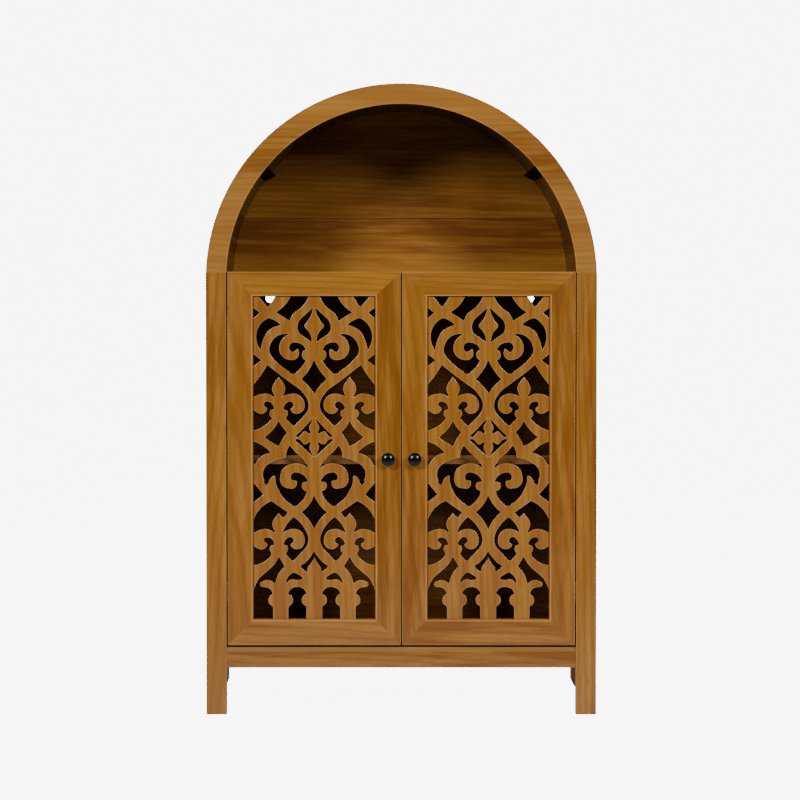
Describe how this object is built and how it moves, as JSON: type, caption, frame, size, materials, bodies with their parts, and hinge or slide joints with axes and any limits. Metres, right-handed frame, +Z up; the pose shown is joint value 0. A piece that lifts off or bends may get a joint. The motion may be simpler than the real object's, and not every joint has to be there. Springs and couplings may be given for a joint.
{
  "type": "arched cabinet",
  "caption": "Tall arched wooden cabinet: an open half-round niche above a pair of pierced fretwork doors on concealed hinges, with an adjustable shelf behind them.",
  "frame": {"origin": "on the floor, under the middle of the whole object's width and depth", "axes": "+Z up, the doors face -Y, +X is to the right of someone who faces the doors"},
  "size_m": [0.8, 0.424, 1.2925],
  "materials": {
    "back_board_wood": "honey-brown stain under satin lacquer",
    "dark_cleat_wood": "dark brown stain, matt",
    "dark_knob_metal": "dark glossy metal",
    "dowel_wood": "bare beech",
    "plated_steel": "zinc plated",
    "stained_wood": "honey-brown stain under satin lacquer",
    "white_plastic": "moulded white nylon"
  },
  "bodies": {
    "carcass": {"adjustable_shelf": "stained_wood", "apron_dowels": "dowel_wood", "arch_dowels": "dowel_wood", "arch_front": "stained_wood", "back_panel_screws": "plated_steel", "board_dowels": "dowel_wood", "bottom_board": "stained_wood", "catch_screws": "plated_steel", "front_apron": "stained_wood", "left_curved_top": "stained_wood", "left_front_post": "stained_wood", "left_niche_cleat": "dark_cleat_wood", "left_post_hinge_cases": "plated_steel", "left_post_hinge_screws": "plated_steel", "left_rear_post": "stained_wood", "left_side_panel": "stained_wood", "lower_back_panel": "back_board_wood", "magnetic_catches": "white_plastic", "niche_back_lower_board": "back_board_wood", "niche_back_upper_board": "back_board_wood", "niche_floor": "stained_wood", "rear_rail": "stained_wood", "right_curved_top": "stained_wood", "right_front_post": "stained_wood", "right_niche_cleat": "dark_cleat_wood", "right_post_hinge_cases": "plated_steel", "right_post_hinge_screws": "plated_steel", "right_rear_post": "stained_wood", "right_side_panel": "stained_wood", "shelf_pins": "plated_steel", "side_dowels": "dowel_wood"},
    "left_door": {"left_door_bottom_rail": "stained_wood", "left_door_fret_panel": "stained_wood", "left_door_hinge_cases": "plated_steel", "left_door_hinge_screws": "plated_steel", "left_door_inner_stile": "stained_wood", "left_door_knob": "dark_knob_metal", "left_door_knob_screw": "plated_steel", "left_door_outer_stile": "stained_wood", "left_door_panel_strips": "stained_wood", "left_door_strike_plate": "plated_steel", "left_door_strike_screw": "plated_steel", "left_door_top_rail": "stained_wood"},
    "right_door": {"right_door_bottom_rail": "stained_wood", "right_door_fret_panel": "stained_wood", "right_door_hinge_cases": "plated_steel", "right_door_hinge_screws": "plated_steel", "right_door_inner_stile": "stained_wood", "right_door_knob": "dark_knob_metal", "right_door_knob_screw": "plated_steel", "right_door_outer_stile": "stained_wood", "right_door_panel_strips": "stained_wood", "right_door_strike_plate": "plated_steel", "right_door_strike_screw": "plated_steel", "right_door_top_rail": "stained_wood"},
    "left_hinge_links": {"left_hinge_links": "plated_steel"},
    "right_hinge_links": {"right_hinge_links": "plated_steel"}
  },
  "joints": [
    {"name": "left_door_swing", "type": "hinge", "parent": "carcass", "child": "left_door", "pos_m": [-0.357, -0.187, 0.52545], "axis": [0, 0, -1], "range_deg": [0, 100]},
    {"name": "right_door_swing", "type": "hinge", "parent": "carcass", "child": "right_door", "pos_m": [0.357, -0.187, 0.52545], "axis": [0, 0, 1], "range_deg": [0, 100]},
    {"name": "left_hinge_link_swing", "type": "hinge", "parent": "carcass", "child": "left_hinge_links", "pos_m": [-0.357, -0.187, 0.52545], "axis": [0, 0, -1], "range_deg": [0, 50]},
    {"name": "right_hinge_link_swing", "type": "hinge", "parent": "carcass", "child": "right_hinge_links", "pos_m": [0.357, -0.187, 0.52545], "axis": [0, 0, 1], "range_deg": [0, 50]}
  ],
  "couplings": [
    {"joint": "left_hinge_link_swing", "follows": "left_door_swing", "ratio": 0.5},
    {"joint": "right_hinge_link_swing", "follows": "right_door_swing", "ratio": 0.5}
  ]
}
